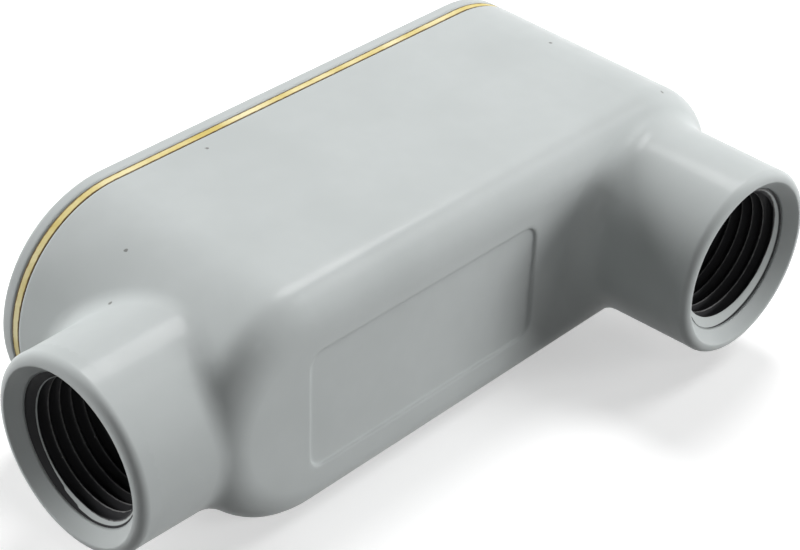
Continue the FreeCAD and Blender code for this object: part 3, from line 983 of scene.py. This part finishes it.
@dataclass
class CoverScrew:
    """A slotted pan-head screw, domed, with a soft-edged slot."""

    name: str
    place: Vector
    turn: float
    head_radius: float
    head_height: float
    dome: float = 0.45 * MM
    side: float = 1.0 * MM
    shank_radius: float = 2.0 * MM
    shank_length: float = 6.0 * MM
    slot_width: float = 1.1 * MM
    slot_depth: float = 1.2 * MM
    edge_width: float = 0.09 * MM
    edge_segments: int = 2
    edge_angle: float = math.radians(50)
    sharp_angle: float = math.radians(38)
    curve_steps: int = 8
    around: int = 96

    def outline(self) -> list[Pair]:
        """Half section of the head and shank.

        Returns:
            Radius and height of each point, from the shank's end to the top.
        """
        points = [(0.0, -self.shank_length), (self.shank_radius, -self.shank_length),
                  (self.shank_radius, 0.0), (self.head_radius, 0.0), (self.head_radius, self.side)]
        flank = self.head_height - self.dome - self.side
        for step in range(1, self.curve_steps + 1):
            angle = math.pi / 2 * step / self.curve_steps
            points.append((self.head_radius - flank * (1 - math.cos(angle)),
                           self.side + flank * math.sin(angle)))
        shoulder = points[-1][0]
        for step in range(1, self.curve_steps + 1):
            share = step / self.curve_steps
            points.append((shoulder * (1 - share),
                           self.head_height - self.dome * (1 - share) ** 2))
        return points

    def turned_blank(self) -> bpy.types.Object:
        """The screw without its slot, turned from the outline."""
        form = bmesh.new()
        chain = [form.verts.new((radius, 0.0, height)) for radius, height in self.outline()]
        edges = [form.edges.new(pair) for pair in zip(chain, chain[1:])]
        bmesh.ops.spin(form, geom=chain + edges, cent=(0, 0, 0), axis=(0, 0, 1), angle=2 * math.pi,
                       steps=self.around, use_duplicate=False)
        bmesh.ops.remove_doubles(form, verts=form.verts, dist=WELD)
        bmesh.ops.recalc_face_normals(form, faces=form.faces)
        name = self.name + "_blank"
        return link_object(name, mesh_from(form, name))

    def slot_cutter(self) -> bpy.types.Object:
        """A box that reaches past the head on both sides, as deep as the slot."""
        form = bmesh.new()
        bmesh.ops.create_cube(form, size=1.0)
        length, depth = self.head_radius * 3, self.slot_depth * 2
        lift = self.head_height - self.slot_depth + depth / 2
        bmesh.ops.scale(form, vec=(self.slot_width, length, depth), verts=form.verts)
        bmesh.ops.translate(form, vec=(0, 0, lift), verts=form.verts)
        name = self.name + "_cutter"
        return link_object(name, mesh_from(form, name))

    def build(self) -> bpy.types.Object:
        """Turns the blank, cuts the slot and softens its edges.

        Returns:
            The screw, in place, with local Z out through the cover.
        """
        blank, cutter = self.turned_blank(), self.slot_cutter()
        cut = blank.modifiers.new("slot", "BOOLEAN")
        cut.operation, cut.solver, cut.object = "DIFFERENCE", "EXACT", cutter
        soft = blank.modifiers.new("soft", "BEVEL")
        soft.width, soft.segments, soft.limit_method = self.edge_width, self.edge_segments, "ANGLE"
        soft.angle_limit = self.edge_angle
        final = baked_copy(blank, self.name)
        for helper in (blank, cutter):
            bpy.data.objects.remove(helper)
        for face in final.polygons:
            face.use_smooth = True
        final.set_sharp_from_angle(angle=self.sharp_angle)
        screw = link_object(self.name, final)
        out = Matrix(((1, 0, 0, 0), (0, 0, 1, 0), (0, -1, 0, 0), (0, 0, 0, 1)))
        screw.matrix_world = Matrix.Translation(self.place) @ out @ Matrix.Rotation(self.turn, 4, "Z")
        return screw

    def dress(self, screw: bpy.types.Object, material: bpy.types.Material) -> None:
        """Gives the screw its finish and its body, and hides the solid that it stands for.

        Args:
            screw: the object that build() made.
            material: its finish.
        """
        screw.data.materials.clear()
        screw.data.materials.append(material)
        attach(screw, BODY)
        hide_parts(SolidNode.SCREWS.value)


@dataclass
class CoverScrews:
    """Both cover screws, on the seats that the solids give them."""

    head_radius: float = 3.9 * MM
    head_height: float = 2.2 * MM
    near_turn: float = math.radians(27)
    far_turn: float = math.radians(104)

    def places(self) -> tuple[Vector, Vector]:
        """Where the two heads' seats lie.

        Returns:
            The near and far place, in metres.
        """
        low, high = corner_box(SolidNode.SCREWS)
        middle = (low.z + high.z) / 2
        seat = high.y - self.head_height
        return (Vector((low.x + self.head_radius, seat, middle)),
                Vector((high.x - self.head_radius, seat, middle)))

    def build(self) -> list[bpy.types.Object]:
        """Builds and dresses both screws.

        Returns:
            The two screws.
        """
        material = ZincPlate().material()
        near, far = self.places()
        made = []
        for name, place, turn in (("near_screw", near, self.near_turn), ("far_screw", far, self.far_turn)):
            screw = CoverScrew(name, place, turn, self.head_radius, self.head_height)
            piece = screw.build()
            screw.dress(piece, material)
            made.append(piece)
        return made


@dataclass(frozen=True)
class Lamp:
    """A round lamp, at an azimuth from +X towards +Y and an elevation in degrees.

    Its size is in metres and its power in watts. Gloss doesn't show it where mirrored is off, because a
    low fill that gloss shows turns the paint white at a low angle.
    """

    name: str
    azimuth: float
    elevation: float
    size: float
    power: float
    mirrored: bool = True

    def build(self, distance: float, aim: Vector) -> None:
        """Hangs the lamp.

        Args:
            distance: from the origin, in metres.
            aim: the point that it shines at.
        """
        turn, rise = math.radians(self.azimuth), math.radians(self.elevation)
        place = distance * Vector((math.cos(turn) * math.cos(rise), math.sin(turn) * math.cos(rise),
                                   math.sin(rise)))
        lamp = bpy.data.lights.new(self.name, "AREA")
        lamp.shape, lamp.size, lamp.energy = "DISK", self.size, self.power
        thing = bpy.data.objects.new(self.name, lamp)
        bpy.context.scene.collection.objects.link(thing)
        thing.visible_camera = False
        thing.visible_glossy = self.mirrored
        turned = (aim - place).to_track_quat("-Z", "Y").to_matrix().to_4x4()
        thing.matrix_world = Matrix.Translation(place) @ turned


@dataclass
class Studio:
    """Floor, lamps, surroundings and camera."""

    floor_size: float = 6.0
    floor_lit: Color = (0.12, 0.12, 0.12, 1.0)
    floor_seen: Color = (0.80, 0.80, 0.80, 1.0)
    floor_glow: float = 0.45
    ambient: float = 0.03
    lamp_distance: float = 0.8
    lamp_aim: Point = (0.0, 0.0, 0.02)
    lamps: tuple[Lamp, ...] = (
        Lamp("key", 336, 50, 0.32, 1.6),
        Lamp("back", 120, 20, 0.50, 5.6, mirrored=False),
        Lamp("low", 320, 11, 0.26, 1.6, mirrored=False),
        Lamp("side", 308, 12, 0.26, 2.6, mirrored=False),
        Lamp("top", 30, 58, 0.30, 3.7),
        Lamp("front", 232, 16, 0.30, 0.4),
        Lamp("glint", 250, 44, 0.035, 0.20),
        Lamp("low_glint", 184, 6, 0.035, 0.16))
    view_place: Point = (-0.178761, -0.163183, 0.18665)
    view_turn: Point = (55.2363, -1.4823, -46.4553)
    view_lens: float = 97.766
    view_sensor: float = 36.0
    view_clip: Pair = (0.01, 20.0)

    def build_world(self) -> None:
        """White for the rays that show it, and a dimmer, even light on the object."""
        world = bpy.data.worlds.new("studio")
        bpy.context.scene.world = world
        graph = Graph(world)
        mix = graph.add("ShaderNodeMixShader")
        graph.join(graph.white_rays(), mix.inputs[0])
        graph.join(graph.background(self.ambient), mix.inputs[1])
        graph.join(graph.background(1.0), mix.inputs[2])
        output = graph.add("ShaderNodeOutputWorld")
        graph.join(mix.outputs[0], output.inputs["Surface"])

    def build_floor(self) -> None:
        """A pale floor that keeps the object's shadow and fades to white where it is lit."""
        mesh = bpy.data.meshes.new("floor")
        half = self.floor_size / 2
        mesh.from_pydata([(-half, -half, 0), (half, -half, 0), (half, half, 0), (-half, half, 0)], [],
                         [(0, 1, 2, 3)])
        floor = link_object("floor", mesh)
        graph = Graph.of_material("studio_floor")
        shown = graph.white_rays()
        diffuse = graph.add("ShaderNodeBsdfDiffuse")
        graph.join(graph.blend(shown, self.floor_lit, self.floor_seen), diffuse.inputs["Color"])
        glow = graph.add("ShaderNodeEmission")
        glow.inputs["Color"].default_value = WHITE
        graph.join(graph.math("MULTIPLY", shown, self.floor_glow), glow.inputs["Strength"])
        both = graph.add("ShaderNodeAddShader")
        graph.join(diffuse.outputs[0], both.inputs[0])
        graph.join(glow.outputs[0], both.inputs[1])
        output = graph.add("ShaderNodeOutputMaterial")
        graph.join(both.outputs[0], output.inputs["Surface"])
        mesh.materials.append(graph.owner)

    def build_camera(self) -> None:
        """The fixed view, from the end hub's side and above."""
        view = bpy.data.cameras.new("view")
        view.lens, view.sensor_width = self.view_lens, self.view_sensor
        view.clip_start, view.clip_end = self.view_clip
        camera = bpy.data.objects.new("view", view)
        bpy.context.scene.collection.objects.link(camera)
        turn = Euler([math.radians(angle) for angle in self.view_turn], "XYZ")
        camera.matrix_world = Matrix.Translation(self.view_place) @ turn.to_matrix().to_4x4()
        bpy.context.scene.camera = camera

    def build(self) -> None:
        """Sets the whole studio up."""
        self.build_world()
        self.build_floor()
        for lamp in self.lamps:
            lamp.build(self.lamp_distance, Vector(self.lamp_aim))
        self.build_camera()
        bpy.context.scene.view_settings.view_transform = "Standard"


def report_built(piece: bpy.types.Object) -> None:
    """Logs a piece that was built here, with its number of faces."""
    log.info("built %s, %d faces", piece.name, len(piece.data.polygons))


def main() -> None:
    """Builds each sub-assembly and reports its pieces."""
    logging.basicConfig(level=logging.INFO, format="%(name)s: %(message)s")
    Studio().build()
    log.info("studio ready")
    paint = CastPaint().material()
    for node in (SolidNode.CASTING, SolidNode.COVER):
        log.info("dressed %s", DressedSolid(node).dress(paint).name)
    low, high = corner_box(SolidNode.GASKET)
    gasket = DressedSolid(SolidNode.GASKET).dress(FibreSheet(low.y, high.y).material())
    log.info("dressed %s", gasket.name)
    hubs = {mount["name"]: Hub.from_record(mount) for mount in frame["record"]["mounts"]}
    lip_paint = CastPaint(name="lip_paint", edge_round=0.0).material()
    for choice in HubCut:
        cut = choice.value
        mouth = HubMouth(hubs[cut.hub], cut)
        piece = mouth.build()
        mouth.dress(piece, lip_paint)
        report_built(piece)
        thread = HubThread(hubs[cut.hub], cut)
        piece = thread.build()
        thread.dress(piece)
        report_built(piece)
    for screw in CoverScrews().build():
        report_built(screw)


if __name__ == "__main__":
    main()
